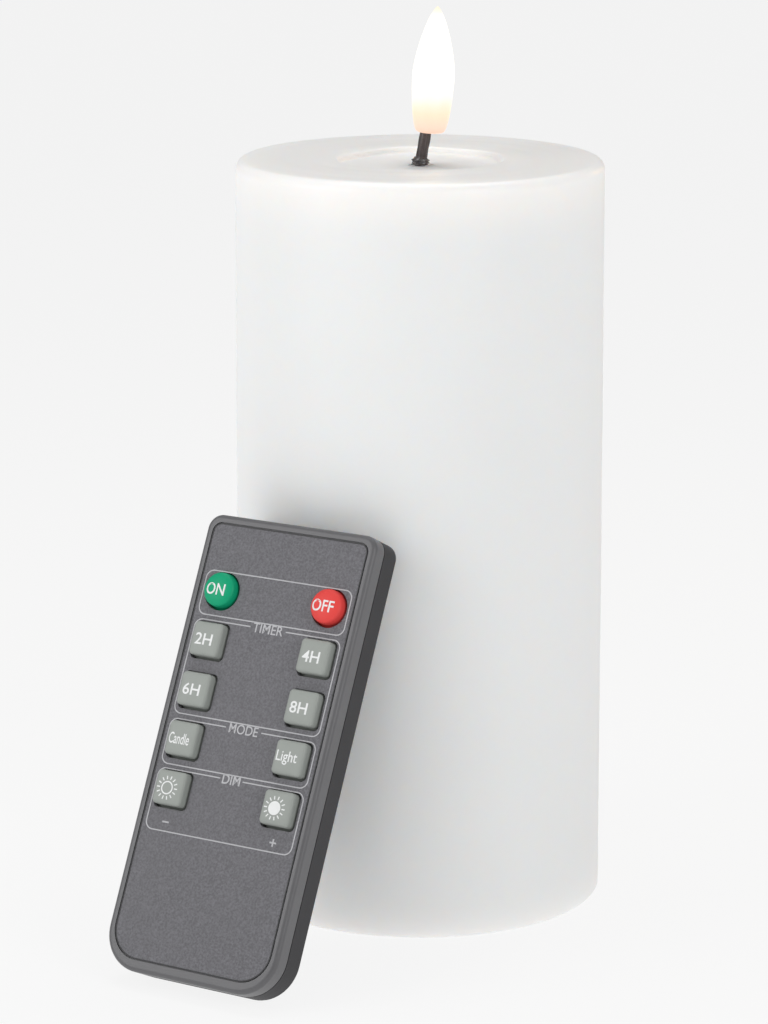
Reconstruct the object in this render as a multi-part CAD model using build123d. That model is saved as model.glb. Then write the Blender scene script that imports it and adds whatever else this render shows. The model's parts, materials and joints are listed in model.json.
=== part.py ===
"""Flameless LED pillar candle with its hand controller leaning against it.

Units are millimetres, +Z is up. The origin is the centre of the candle's foot, on the
surface it stands on. The controller is modelled flat in its own frame (x across, y along
its length from its lower end, z out of its face) and is then placed on its lean.
"""
from build123d import *
import math
import os

# ---------------------------------------------------------------- wax pillar
pillar_diameter = 75.0
pillar_height = 152.0          # top face above the standing surface
wax_wall = 5.0                 # side wall of the wax shell
wax_top = 9.0                  # wax above the inner housing
rim_round = 2.0                # soft top edge
hem_round = 0.8
pool_radius = 17.0             # melted-look recess round the wick
pool_depth = 1.4
pool_lip_round = 0.7
pool_floor_round = 1.0

# ---------------------------------------------------------------- wick and flame
wick_radius = 1.15
wick_lean = 10.0               # degrees towards +X above the pool
wick_exposed = 6.5             # pool floor to the flame
wick_buried = 25.0             # length below the pool floor
wick_into_flame = 2.6
wick_tube_wall = 1.0
wick_tube_length = 22.0
wick_fit = 0.08                # radial gap wick to tube, tube to wax and housing
wick_tube_sink = 1.0           # tube end below the pool floor
collar_radius = 1.7
collar_height = 1.6
flame_height = 25.5
flame_radius = 4.2
flame_lean = 3.4
flame_shift = 0.85             # flame foot centre beside the wick
flame_socket_gap = 0.12
led_size = 1.5
led_thick = 0.8

# ---------------------------------------------------------------- inner housing
housing_gap = 0.1              # radial gap to the wax
housing_wall = 1.6
housing_roof = 1.6
roof_gap = 0.1
boss_radius = 3.4
boss_inset = 4.4               # boss centres inside the housing's outer face
boss_height = 14.0
boss_angles = (28.0, 152.0, 208.0, 332.0)
screw_radius = 1.25
screw_pilot = 1.05
screw_clear = 1.5
screw_length = 10.0
head_radius = 2.5
head_height = 1.3
head_clear = 0.25

# ---------------------------------------------------------------- base plate
pad_height = 1.8               # base plate above the standing surface
plate_thick = 2.4
pad_radius = 4.0
pad_recess = 0.5
pad_inset = 6.1                # pad centres inside the housing's outer face
pad_fit = 0.1
pad_screw_gap = 0.4            # pads to the battery-box screw heads

# ---------------------------------------------------------------- battery bay
cell_radius = 7.1
cell_length = 50.3
cell_nub_radius = 2.75
cell_nub_height = 1.2
cell_gap = 0.8                 # between the two cells
bay_play = 0.5                 # cell to wall
bay_wall = 1.4
bay_y = 8.0                    # bay centre behind the candle axis
bay_round = 3.0
spring_height = 5.0
spring_wire = 0.35
spring_top_radius = 4.4
spring_turns = 4
contact_thick = 0.4
contact_size = 11.0
ear_length = 7.0
ear_width = 7.0
ear_height = 6.0
ear_shift = 4.0                # ears forward of the bay centre
box_screw_length = 6.5

# ---------------------------------------------------------------- battery door
door_margin = 1.6              # door beyond the bay opening on each side
door_gap = 0.35
door_thick = 1.8
hinge_radius = 1.2
hinge_pin_radius = 0.75
hinge_pin_fit = 0.06
hinge_pin_length = 1.6
hinge_ear_rise = 1.0
hinge_ear_reach = 1.2          # ear beyond the pin's end
hinge_ear_clear = 0.3          # ears to the housing's bosses
catch_rise = 0.2               # snap ridge on the free edge
bridge_thick = 0.4
dimple_radius = 2.0

# ---------------------------------------------------------------- power switch
switch_y = -18.5
switch_length = 12.0
switch_width = 6.0
switch_height = 5.0
switch_travel = 4.0
knob_length = 3.4
knob_width = 2.4
knob_drop = 1.0                # knob tip below the base plate
knob_gap = 0.3
knob_rise = 1.6                # knob foot inside the switch body

# ---------------------------------------------------------------- circuit board
board_y = -6.0                 # rear face
board_width = 34.0
board_thick = 1.2
board_bottom = 8.0             # above the base plate's top
board_height = 50.0
rail_width = 3.0
rail_height = 20.0
rail_grip = 1.2
rail_wall = 1.2
rail_gap = 0.1
lead_radius = 0.5
lead_hang = 22.0               # straight down from the wick
lead_rise = 20.0               # straight up from the board

# ---------------------------------------------------------------- controller
rc_width = 39.0
rc_length = 90.8
rc_thick = 9.0
rc_top_corner = 3.0
rc_foot_corner = 8.0
rc_front_round = 0.9
rc_back_round = 0.8
rc_seam = 5.2                  # height of the seam above the back face
rc_seam_gap = 0.25
rc_lip_fit = 0.05              # lip inside the front case's wall
rc_lip_thick = 0.5
rc_lip_rise = 0.9              # lip above the seam
rc_wall = 1.3
rc_floor = 0.9
rc_deck = 1.0                  # front deck under the overlay
rc_overlay = 0.4
rc_overlay_side = 1.45         # rim width beside the overlay
rc_overlay_top = 1.6
rc_overlay_foot = 2.2
rc_overlay_top_corner = 2.0
rc_overlay_foot_corner = 6.4
rc_overlay_gap = 0.2
rc_yaw = 31.0                  # turned to the left of straight ahead
rc_lean = 26.0
rc_offset = -1.2
rc_rest_gap = 0.3              # between its upper back edge and the wax
key_column = 12.4              # key centres beside the centre line
key_size = 7.2
key_corner = 0.9
key_round_radius = 3.7
key_rise = 1.7
key_edge_round = 0.7
key_round_rise = 1.9
key_round_edge = 1.3
key_gap = 0.15
key_flange = 0.7
key_flange_thick = 0.6
key_travel = 0.6
key_play = 0.05
key_rows = {"on_off": 75.6, "timer_a": 65.5, "timer_b": 55.4, "mode": 45.5, "dim": 35.7}
mat_thick = 0.7
rc_board_thick = 1.1
rc_board_margin = 0.8
rc_board_seat = 0.05           # rails and posts to the board's lower face
rc_post_radius = 1.4
rc_post_side = 14.0            # posts beside the centre line
rc_post_end = 14.0             # posts below the upper end
coin_radius = 10.0
coin_thick = 2.5
tray_fit = 0.12
tray_wall = 1.1
tray_floor = 0.4
tray_end = 2.6
ir_lens_radius = 1.5
ir_lens_length = 5.0
window_width = 8.0
window_height = 3.0

# ---------------------------------------------------------------- derived levels
pillar_radius = pillar_diameter / 2
bore_radius = pillar_radius - wax_wall
housing_radius = bore_radius - housing_gap
boss_ring = housing_radius - boss_inset
pad_ring = housing_radius - pad_inset
roof_level = pillar_height - wax_top
pool_floor = pillar_height - pool_depth
plate_low = pad_height
plate_top = plate_low + plate_thick
wick_tube_radius = wick_radius + wick_fit + wick_tube_wall
wick_hole = wick_tube_radius + wick_fit
bay_half_x = 2 * cell_radius + cell_gap / 2 + bay_play
bay_half_y = cell_radius + bay_play
cell_x = cell_radius + cell_gap / 2
cell_foot = plate_low + door_thick + bridge_thick + 0.5
cell_head = cell_foot + cell_length
contact_level = cell_head + spring_height
bay_roof = contact_level + contact_thick
bay_top = bay_roof + bay_wall
ear_x = bay_half_x + bay_wall + ear_length / 2
ear_y = bay_y - ear_shift
door_half_x = bay_half_x + door_margin
door_low_y = bay_y - bay_half_y - door_margin
hinge_y = bay_y + bay_half_y + door_margin
hinge_z = plate_low + hinge_radius
ear_low_y = hinge_y - 2.2
ear_high_y = hinge_y + hinge_radius + door_gap + 1.4
ear_end_x = door_half_x + door_gap + hinge_pin_length + hinge_ear_reach
board_front = board_y - board_thick
board_low = plate_top + board_bottom
board_top = board_low + board_height

C = Align.CENTER
LOW = Align.MIN


def disc(radius, low, high, x=0.0, y=0.0):
    """Upright cylinder between two levels."""
    return Pos(x, y, low) * Cylinder(radius, high - low, align=(C, C, LOW))


def block(x0, x1, y0, y1, z0, z1):
    """Box between six limits."""
    return Pos((x0 + x1) / 2, (y0 + y1) / 2, z0) * Box(x1 - x0, y1 - y0, z1 - z0, align=(C, C, LOW))


def soft_block(x0, x1, y0, y1, z0, z1, radius):
    """Box with rounded upright edges."""
    body = block(x0, x1, y0, y1, z0, z1)
    return fillet(body.edges().filter_by(Axis.Z), radius)


def ring_points(radius, angles):
    """Points on a circle about the candle axis."""
    return [(radius * math.cos(math.radians(a)), radius * math.sin(math.radians(a))) for a in angles]


def edges_at(body, level, radius):
    """Circular edges of one radius at one level."""
    return [e for e in body.edges().filter_by(GeomType.CIRCLE)
            if abs(e.center(CenterOf.BOUNDING_BOX).Z - level) < 1e-3 and abs(e.radius - radius) < 1e-3]


def wire_run(points, radii, thickness):
    """Round lead along straight runs joined by arcs."""
    path = FilletPolyline(*points, radius=radii)
    return sweep(Plane(path @ 0, z_dir=path % 0) * Circle(thickness), path=path)


# ---------------------------------------------------------------- candle pieces
def make_wax_pillar():
    body = disc(pillar_radius, 0, pillar_height)
    body = fillet(edges_at(body, pillar_height, pillar_radius), rim_round)
    body = fillet(edges_at(body, 0, pillar_radius), hem_round)
    pool = disc(pool_radius, pool_floor, pillar_height + 1)
    pool = fillet(edges_at(pool, pool_floor, pool_radius), pool_floor_round)
    body -= pool
    body = fillet(edges_at(body, pillar_height, pool_radius), min(pool_lip_round, pool_depth * 0.5))
    body -= disc(bore_radius, -1, roof_level)
    return body - disc(wick_hole, roof_level - 1, pillar_height)


def make_core_housing():
    top = roof_level - roof_gap
    body = disc(housing_radius, plate_top, top)
    body -= disc(housing_radius - housing_wall, plate_top - 1, top - housing_roof)
    for x, y in ring_points(boss_ring, boss_angles):
        body += disc(boss_radius, plate_top, plate_top + boss_height, x, y) & disc(
            housing_radius - 0.1, plate_top, plate_top + boss_height)
    for x, y in ring_points(boss_ring, boss_angles):
        body -= disc(screw_pilot, plate_top - 1, plate_top + boss_height - 2, x, y)
    body -= block(-ear_end_x - hinge_ear_clear, ear_end_x + hinge_ear_clear, ear_low_y - hinge_ear_clear,
                  ear_high_y + hinge_ear_clear, plate_top - 1, plate_top + hinge_ear_rise + hinge_ear_clear)
    body += disc(wick_hole + 1.6, top - housing_roof - 6, top - housing_roof)
    return body - disc(wick_hole, top - housing_roof - 7, top + 1)


def make_wick_tube():
    high = pool_floor - wick_tube_sink
    body = disc(wick_tube_radius, high - wick_tube_length, high)
    return body - disc(wick_radius + wick_fit, high - wick_tube_length - 1, high + 1)


def lean_at(level, degrees, x=0.0):
    """Frame at a level on the axis, its Z leaning towards +X."""
    return Pos(x, 0, level) * Rot(0, degrees, 0)


def wick_tip():
    """Frame at the wick's upper end."""
    return lean_at(pool_floor, wick_lean) * Pos(0, 0, wick_exposed + wick_into_flame)


def make_wick():
    body = disc(wick_radius, pool_floor - wick_buried, pool_floor)
    body += Pos(0, 0, pool_floor) * Sphere(wick_radius)
    return body + lean_at(pool_floor, wick_lean) * disc(wick_radius, 0, wick_exposed + wick_into_flame)


def make_wick_collar():
    body = lean_at(pool_floor, wick_lean * 0.5) * disc(collar_radius, -0.4, collar_height)
    body = fillet(body.edges().filter_by(GeomType.CIRCLE).sort_by(Axis.Z)[-1:], 0.35)
    body &= disc(collar_radius * 2, pool_floor, pool_floor + 2 * collar_height)
    return body - make_wick_space(wick_fit)


def make_wick_space(gap):
    """The wick grown by a gap, as a cutter."""
    body = disc(wick_radius + gap, pool_floor - wick_buried, pool_floor)
    body += Pos(0, 0, pool_floor) * Sphere(wick_radius + gap)
    return body + lean_at(pool_floor, wick_lean) * disc(
        wick_radius + gap, 0, wick_exposed + wick_into_flame)


def flame_frame():
    """Frame at the flame's foot, its Z along the flame."""
    base = lean_at(pool_floor, wick_lean) * Pos(0, 0, wick_exposed)
    x, _, z = base.position
    return lean_at(z, flame_lean, x + flame_shift)


def make_flame_bulb():
    """Turned diffuser: a small rounded foot, a full belly and a blunt tip, with the wick's socket."""
    h, r = flame_height, flame_radius
    foot_edge = (r * 0.71, h * 0.024)
    belly = (r, h * 0.445)
    foot = Bezier((0, 0), (r * 0.5, 0), (r * 0.642, h * 0.0016), foot_edge)
    lower = Bezier(foot_edge, (r * 0.88, h * 0.08), (r, h * 0.25), belly)
    upper = Bezier(belly, (r, h * 0.62), (r * 0.36, h * 0.97), (0, h))
    axis = Line((0, h), (0, 0))
    face = make_face(Plane.XZ * Curve([foot, lower, upper, axis]))
    body = flame_frame() * revolve(face, Axis.Z)
    socket = lean_at(pool_floor, wick_lean) * disc(
        wick_radius + flame_socket_gap, wick_exposed - 2, wick_exposed + wick_into_flame + led_thick + 0.3)
    return body - socket


def make_led_chip():
    half = led_size / 2
    return wick_tip() * block(-half, half, -half, half, 0, led_thick)


def make_lamp_leads():
    start = pool_floor - wick_buried
    drop = start - board_top
    low = start - min(lead_hang, drop * 0.36)
    rise = board_top + min(lead_rise, drop * 0.33)
    leads = Part()
    for side in (-1, 1):
        x0, x1 = side * 0.6, 4.0 + side * 1.25
        leads += wire_run([(x0, 0, start), (x0, 0, low), (x1, board_front - 2.2, rise),
                           (x1, board_front - 2.2, board_top + 1.2)], [9, 9], lead_radius)
    return leads


# ---------------------------------------------------------------- base
def door_opening(low, high):
    return block(-door_half_x - door_gap, door_half_x + door_gap, door_low_y - door_gap,
                 hinge_y + hinge_radius + door_gap, low, high)


def pad_places():
    """Two pads on the fore-and-aft line and two at the sides, forward of the battery-box screws."""
    reach = pad_radius + head_radius + pad_screw_gap
    aside = pad_ring - ear_x
    side_y = min(0.0, ear_y - math.sqrt(max(0.0, reach ** 2 - aside ** 2)))
    side_x = math.sqrt(pad_ring ** 2 - side_y ** 2)
    return [(side_x, side_y), (0, pad_ring), (-side_x, side_y), (0, -pad_ring)]


def make_base_plate():
    plate = disc(housing_radius, plate_low, plate_top)
    for side in (-1, 1):
        x0 = side * (door_half_x + door_gap)
        x1 = side * ear_end_x
        plate += block(min(x0, x1), max(x0, x1), ear_low_y, ear_high_y, plate_top, plate_top + hinge_ear_rise)
        rx0 = side * (board_width / 2 - rail_grip)
        rx1 = side * (board_width / 2 - rail_grip + rail_width)
        rail = block(min(rx0, rx1), max(rx0, rx1), board_front - rail_gap - rail_wall,
                     board_y + rail_gap + rail_wall, plate_top, board_low + rail_height)
        plate += rail
    plate -= door_opening(plate_low - 1, plate_top + 3)
    for side in (-1, 1):
        x0 = side * (door_half_x + door_gap - 0.5)
        bore = Pos(x0, hinge_y, hinge_z) * Rot(0, side * 90, 0) * Cylinder(
            hinge_pin_radius + hinge_pin_fit, hinge_pin_length + 0.7, align=(C, C, LOW))
        plate -= bore
    plate -= block(-board_width / 2 - rail_gap, board_width / 2 + rail_gap, board_front - rail_gap,
                   board_y + rail_gap, board_low, board_low + rail_height + 1)
    for x, y in ring_points(boss_ring, boss_angles) + [(ear_x, ear_y), (-ear_x, ear_y)]:
        plate -= disc(screw_clear, plate_low - 1, plate_top + 1, x, y)
        plate -= disc(head_radius + head_clear, plate_low - 1, plate_low + head_height, x, y)
    for x, y in pad_places():
        plate -= disc(pad_radius + pad_fit, plate_low - 1, plate_low + pad_recess, x, y)
    reach = knob_length / 2 + knob_gap
    plate -= block(-reach - switch_travel, reach, switch_y - knob_width / 2 - knob_gap,
                   switch_y + knob_width / 2 + knob_gap, plate_low - 1, plate_top + 1)
    return plate


def make_base_pads():
    pads = Part()
    for x, y in pad_places():
        pads += disc(pad_radius, 0, plate_low + pad_recess, x, y)
    return pads


def make_screw(length):
    """Pan-head screw, head down at level 0, shank up."""
    body = disc(head_radius, 0, head_height - 0.1) + disc(screw_radius - 0.22, 0, length)
    slot = block(-1.5, 1.5, -0.3, 0.3, -1, 0.6) + block(-0.3, 0.3, -1.5, 1.5, -1, 0.6)
    return body - slot


def make_screws(places, length):
    screws = Part()
    for x, y in places:
        screws += Pos(x, y, plate_low + 0.1) * make_screw(length)
    return screws


def make_battery_box():
    x, y = bay_half_x + bay_wall, bay_half_y + bay_wall
    body = soft_block(-x, x, bay_y - y, bay_y + y, plate_top, bay_top, bay_round)
    for side in (-1, 1):
        e0, e1 = side * (x - 1), side * (x + ear_length)
        body += block(min(e0, e1), max(e0, e1), ear_y - ear_width / 2, ear_y + ear_width / 2,
                      plate_top, plate_top + ear_height)
    body -= soft_block(-bay_half_x, bay_half_x, bay_y - bay_half_y, bay_y + bay_half_y,
                       plate_top - 1, bay_roof, bay_round - bay_wall)
    for side in (-1, 1):
        body -= disc(screw_pilot, plate_top - 1, plate_top + ear_height - 0.6, side * ear_x, ear_y)
        body -= block(side * cell_x - 1.2, side * cell_x + 1.2, bay_y - 0.4, bay_y + 0.4,
                      bay_roof - 1, bay_top + 1)
    hinge_room = block(-door_half_x - 1, door_half_x + 1, hinge_y - hinge_radius - 0.6, hinge_y + 5,
                       plate_top - 1, hinge_z + hinge_radius + 0.5)
    return body - hinge_room


def make_cell(nub_up):
    shell = cell_length - cell_nub_height
    low = 0.0 if nub_up else cell_nub_height
    body = disc(cell_radius, low, low + shell)
    body = fillet(body.edges().filter_by(GeomType.CIRCLE), 0.6)
    if nub_up:
        body += disc(cell_nub_radius, shell, cell_length)
    else:
        body += disc(cell_nub_radius, 0, cell_nub_height + 0.01)
    return body


def make_contacts():
    plates = Part()
    half = contact_size / 2
    for side in (-1, 1):
        x = side * cell_x
        plates += block(x - half, x + half, bay_y - half, bay_y + half, contact_level, bay_roof)
        plates += block(x - 1.0, x + 1.0, bay_y - 0.2, bay_y + 0.2, contact_level, bay_top + 2.4)
    return plates


def make_springs():
    springs = Part()
    pitch = (spring_height - 2 * spring_wire - 0.04) / spring_turns
    cone = math.degrees(math.atan((spring_top_radius - 2.4) / (pitch * spring_turns)))
    for side in (-1, 1):
        coil = Helix(pitch, pitch * spring_turns, 2.4, cone_angle=cone)
        wire = sweep(Plane(coil @ 0, z_dir=coil % 0) * Circle(spring_wire), path=coil, is_frenet=True)
        springs += Pos(side * cell_x, bay_y, cell_head + spring_wire + 0.02) * wire
    return springs


def make_battery_door():
    plate = block(-door_half_x, door_half_x, door_low_y, hinge_y, plate_low, plate_low + door_thick)
    knuckle = Pos(0, hinge_y, hinge_z) * Rot(0, 90, 0) * Cylinder(hinge_radius, 2 * door_half_x)
    pins = Pos(0, hinge_y, hinge_z) * Rot(0, 90, 0) * Cylinder(
        hinge_pin_radius, 2 * (door_half_x + door_gap + hinge_pin_length))
    catch = Pos(0, door_low_y, plate_low + door_thick / 2) * Rot(0, 90, 0) * Cylinder(catch_rise, 10.0)
    grip = Pos(0, door_low_y + 3.2, plate_low - 2.2) * Rot(0, 90, 0) * Cylinder(2.8, 9.0)
    return (plate + knuckle + pins + catch) - grip


def make_bridge_contact():
    low = plate_low + door_thick
    body = block(-cell_x - 4.5, cell_x + 4.5, bay_y - 4, bay_y + 4, low, low + bridge_thick)
    for side in (-1, 1):
        body += disc(dimple_radius, low, cell_foot - 0.02, side * cell_x, bay_y)
    return body


def make_switch_body():
    x0, x1 = -switch_travel / 2 - switch_length / 2, -switch_travel / 2 + switch_length / 2
    body = block(x0, x1, switch_y - switch_width / 2, switch_y + switch_width / 2,
                 plate_top, plate_top + switch_height)
    reach = knob_length / 2 + knob_gap
    return body - block(-reach - switch_travel, reach, switch_y - knob_width / 2 - knob_gap,
                        switch_y + knob_width / 2 + knob_gap, plate_top - 1, plate_top + knob_rise + 0.4)


def make_switch_slider():
    body = block(-knob_length / 2, knob_length / 2, switch_y - knob_width / 2, switch_y + knob_width / 2,
                 plate_low - knob_drop, plate_top + knob_rise)
    body = fillet(body.edges().group_by(Axis.Z)[0], 0.35)
    for i in (-1, 0, 1):
        body -= block(i - 0.2, i + 0.2, switch_y - 2, switch_y + 2,
                      plate_low - 2, plate_low - knob_drop + 0.25)
    return body


# ---------------------------------------------------------------- electronics
def make_circuit_board():
    board = block(-board_width / 2, board_width / 2, board_front, board_y, board_low, board_top)
    for x in (-12.0, 12.0):
        hole = Pos(x, board_y + 1, board_top - 4) * Rot(90, 0, 0) * Cylinder(
            1.3, board_thick + 2, align=(C, C, LOW))
        board -= hole
    return board


def on_board(width, depth, height, x, rise):
    """Box standing on the board's front face."""
    z = board_low + rise
    return block(x - width / 2, x + width / 2, board_front - depth, board_front, z, z + height)


def make_ir_receiver():
    body = on_board(6.0, 3.0, 7.0, -8.0, 34.0)
    body += Pos(-8.0, board_front - 3.0, board_low + 38.6) * Sphere(1.9)
    return body & block(-20, 20, board_front - 9, board_front, board_low, board_top + 5)


def make_controller_chip():
    body = on_board(9.0, 1.5, 6.0, 3.0, 22.0)
    dimple = Pos(-0.4, board_front - 1.5, board_low + 26.6) * Rot(90, 0, 0) * Cylinder(0.4, 0.4)
    for i in range(4):
        x = -0.2 + 2.0 * i
        body += block(x - 0.25, x + 0.25, board_front - 0.5, board_front, board_low + 21.2, board_low + 28.8)
    return body - dimple


def make_board_capacitor():
    return Pos(-8.0, board_front - 3.2, board_low + 8.0) * Cylinder(3.15, 9.0, align=(C, C, LOW))


def make_board_passives():
    pieces = Part()
    for x, rise in ((10.5, 34.0), (10.5, 38.0), (6.5, 34.0), (6.5, 15.0), (10.5, 15.0), (2.0, 15.0)):
        pieces += on_board(2.0, 0.7, 1.25, x, rise)
    return pieces


def make_lamp_connector():
    return on_board(6.4, 4.4, 5.6, 4.0, board_height - 4.8)


def make_battery_leads():
    leads = Part()
    for side in (-1, 1):
        x0, x1 = side * cell_x, side * 13.0
        start = bay_top + 2.4
        leads += wire_run([(x0, bay_y, start), (x0, bay_y, start + 12), (x1, board_front - 0.9, start + 14),
                           (x1, board_front - 0.9, board_top - 9)], [5, 5], lead_radius)
    return leads


def make_switch_leads():
    leads = Part()
    for x0, x1 in ((-5.0, -4.0), (1.0, 0.0)):
        low = plate_top + switch_height
        leads += wire_run([(x0, switch_y, low), (x0, switch_y, low + 5), (x1, board_front - 0.9, low + 8),
                           (x1, board_front - 0.9, low + 13)], [2, 2], lead_radius)
    return leads


# ---------------------------------------------------------------- controller pieces
def rounded_outline(half, low, high, foot_corner, top_corner):
    """Outline with larger corners at its lower end."""
    face = Pos(0, (low + high) / 2) * Rectangle(2 * half, high - low)
    foot = face.vertices().sort_by(Axis.Y)[:2]
    face = fillet(foot, min(foot_corner, half - 0.5))
    return fillet(face.vertices().sort_by(Axis.Y)[-2:], min(top_corner, half - 0.5))


def rc_shell(inset, low, high):
    """Solid with the controller's outline, drawn in by an inset."""
    face = rounded_outline(rc_width / 2 - inset, inset, rc_length - inset,
                           max(rc_foot_corner - inset, 0.5), max(rc_top_corner - inset, 0.5))
    return Pos(0, 0, low) * extrude(face, high - low)


def overlay_outline(gap):
    return rounded_outline(rc_width / 2 - rc_overlay_side - gap, rc_overlay_foot + gap,
                           rc_length - rc_overlay_top - gap, rc_overlay_foot_corner - gap,
                           rc_overlay_top_corner - gap)


def key_list():
    """Name, x, y and round or square for each key."""
    keys = []
    for name, row, is_round in (("on", "on_off", True), ("timer_2h", "timer_a", False),
                                ("timer_6h", "timer_b", False), ("candle_mode", "mode", False),
                                ("dim_down", "dim", False)):
        keys.append((name, -key_column, key_rows[row], is_round))
    for name, row, is_round in (("off", "on_off", True), ("timer_4h", "timer_a", False),
                                ("timer_8h", "timer_b", False), ("light_mode", "mode", False),
                                ("dim_up", "dim", False)):
        keys.append((name, key_column, key_rows[row], is_round))
    return keys


def key_prism(x, y, is_round, grow, low, high):
    if is_round:
        return disc(key_round_radius + grow, low, high, x, y)
    h = key_size / 2 + grow
    return soft_block(x - h, x + h, y - h, y + h, low, high, key_corner + max(grow, 0))


deck_top = rc_thick - rc_overlay
deck_low = deck_top - rc_deck
mat_top = deck_low - key_play - key_flange_thick - key_travel - 0.1
mat_low = mat_top - mat_thick
rc_board_low = mat_low - rc_board_thick


def make_front_case():
    body = rc_shell(0, rc_seam + rc_seam_gap, rc_thick)
    body = fillet(body.edges().group_by(Axis.Z)[-1], rc_front_round)
    body -= Pos(0, 0, deck_top) * extrude(overlay_outline(0), 2)
    body -= rc_shell(rc_wall, rc_seam - 1, deck_low)
    for _, x, y, is_round in key_list():
        body -= key_prism(x, y, is_round, key_gap, deck_low - 1, rc_thick + 1)
    return body - window_block(0.1)


def make_overlay():
    plate = Pos(0, 0, deck_top) * extrude(overlay_outline(rc_overlay_gap), rc_overlay - 0.05)
    for _, x, y, is_round in key_list():
        plate -= key_prism(x, y, is_round, key_gap + 0.1, deck_top - 1, rc_thick + 1)
    return plate


def tray_half():
    return coin_radius + tray_fit + tray_wall


def make_back_case():
    body = rc_shell(0, 0, rc_seam)
    body = fillet(body.edges().group_by(Axis.Z)[0], rc_back_round)
    body -= rc_shell(rc_wall, rc_floor, rc_seam + 1)
    half = tray_half() + tray_fit
    slot_top = rc_floor + tray_floor + coin_thick + 0.35
    seat = rc_board_low - rc_board_seat
    body -= block(-half, half, -1, rc_wall + 1, rc_floor, slot_top)
    for side in (-1, 1):
        guide = side * (half + 0.05)
        x0, x1 = min(guide, guide + side * 1.0), max(guide, guide + side * 1.0)
        body += block(x0, x1, rc_wall + rc_lip_fit, 2 * coin_radius + 5, rc_floor - 0.05, seat)
        body += disc(rc_post_radius, rc_floor - 0.05, seat, side * rc_post_side, rc_length - rc_post_end)
    lip_outer = rc_wall + rc_lip_fit
    body += rc_shell(lip_outer, rc_seam - 0.6, rc_seam + rc_lip_rise) - rc_shell(
        lip_outer + rc_lip_thick, rc_seam - 1, rc_seam + 2)
    body += rc_shell(rc_wall - 0.3, rc_seam - 0.6, rc_seam) - rc_shell(
        lip_outer + rc_lip_thick, rc_seam - 1, rc_seam + 2)
    return body - window_block(0.1)


def make_cell_tray():
    """Pull-out tray with a round pocket for the coin cell."""
    half = tray_half()
    low, high = rc_floor + 0.05, rc_floor + tray_floor + coin_thick + 0.2
    centre = tray_end + coin_radius + tray_fit
    body = block(-half, half, -0.5, centre + coin_radius + tray_fit + 0.6, low, high)
    body &= rc_shell(0, -1, rc_seam)
    body -= disc(coin_radius + tray_fit, low + tray_floor, high + 1, 0, centre)
    nick = Pos(0, -0.2, (low + high) / 2) * Rot(0, 90, 0) * Cylinder(0.7, 9.0)
    return body - nick


def make_coin_cell():
    low = rc_floor + 0.05 + tray_floor
    centre = tray_end + coin_radius + tray_fit
    body = disc(coin_radius, low, low + coin_thick * 0.8, 0, centre)
    return body + disc(coin_radius - 1.2, low, low + coin_thick, 0, centre)


def make_rc_board():
    inset = rc_wall + rc_board_margin
    body = rc_shell(inset, rc_board_low, mat_low)
    notch = block(-2.2, 2.2, rc_length - inset - 2.5, rc_length, rc_board_low - 1, mat_low + 1)
    return body - notch


def make_rc_mat():
    return rc_shell(rc_wall + rc_board_margin, mat_low, mat_top) - block(
        -3.0, 3.0, rc_length - rc_wall - rc_board_margin - 6.0, rc_length, mat_low - 1, mat_top + 1)


def make_rc_chip():
    high = rc_board_low
    return block(-3.5, 3.5, 52, 59, high - 1.2, high)


def make_rc_clips():
    clips = Part()
    high = rc_board_low
    low = rc_floor + tray_floor + coin_thick + 0.27
    centre = tray_end + coin_radius
    for x in (-5.0, 5.0):
        clips += block(x - 1.5, x + 1.5, centre - 4, centre + 4, low, high)
    return clips


def window_block(gap):
    """Infrared window in the upper end wall."""
    mid = rc_seam
    w, h = window_width / 2 + gap, window_height / 2 + gap
    return block(-w, w, rc_length - rc_wall - 1.5, rc_length + 1, mid - h, mid + h)


def make_rc_window():
    return window_block(0) & rc_shell(0.25, 0, rc_thick) & block(
        -20, 20, rc_length - rc_wall, rc_length + 1, 0, rc_thick)


def make_ir_emitter():
    tip = rc_length - rc_wall - 0.6
    level = rc_seam - 0.2
    body = Pos(0, tip - ir_lens_length, level) * Rot(-90, 0, 0) * Cylinder(
        ir_lens_radius, ir_lens_length - ir_lens_radius, align=(C, C, LOW))
    body += Pos(0, tip - ir_lens_radius, level) * Sphere(ir_lens_radius)
    return body - block(-3, 3, 0, rc_length - rc_wall - rc_board_margin - 2.45,
                        rc_board_low - 0.05, mat_low + 0.05)


def make_key(x, y, is_round):
    low = deck_low - key_play - key_flange_thick
    high = rc_thick + (key_round_rise if is_round else key_rise)
    cap = key_prism(x, y, is_round, 0, low, high)
    cap = fillet(cap.edges().group_by(Axis.Z)[-1], key_round_edge if is_round else key_edge_round)
    return cap + key_prism(x, y, is_round, key_flange, low, low + key_flange_thick)


def controller_frame():
    """Place of the leaning controller: foot edge on the floor, upper back edge at the wax."""
    yaw, lean, r = math.radians(rc_yaw), math.radians(rc_lean), rc_back_round
    reach = pillar_radius + rc_rest_gap + (rc_length - r) * math.sin(lean) + r * (1 - math.cos(lean))
    inward = Vector(math.sin(yaw), math.cos(yaw), 0)
    across = Vector(math.cos(yaw), -math.sin(yaw), 0)
    rise = r * (1 - math.cos(lean) - math.sin(lean))
    origin = inward * -reach + across * rc_offset + Vector(0, 0, rise)
    normal = inward * -math.cos(lean) + Vector(0, 0, math.sin(lean))
    return Plane(origin=origin, x_dir=across, z_dir=normal).location


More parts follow.
